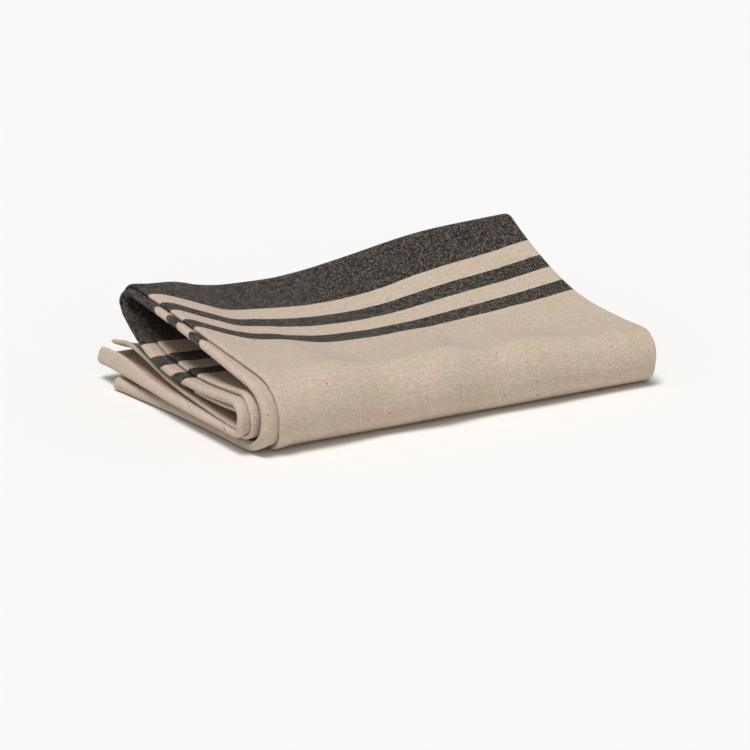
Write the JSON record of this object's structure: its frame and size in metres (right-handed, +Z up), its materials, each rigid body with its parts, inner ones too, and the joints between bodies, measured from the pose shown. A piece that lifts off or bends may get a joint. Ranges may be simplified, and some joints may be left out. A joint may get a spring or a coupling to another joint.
{
  "type": "folded tea towel",
  "caption": "Striped cotton tea towel, folded into a soft pad with its fold at the front and its layered edges showing at the sides.",
  "frame": {"origin": "on the surface that the folded towel lies on, under the middle of its box", "axes": "+X along the stripes and the folds, from the end with the free edges to the end with the closed turns; +Y from the front folds to the back fold; +Z up"},
  "size_m": [0.1908, 0.123, 0.0461],
  "materials": {
    "cotton": "matt plain-woven ecru cotton with charcoal stripes woven in"
  },
  "bodies": {
    "root": {"towel": "cotton"}
  },
  "joints": []
}
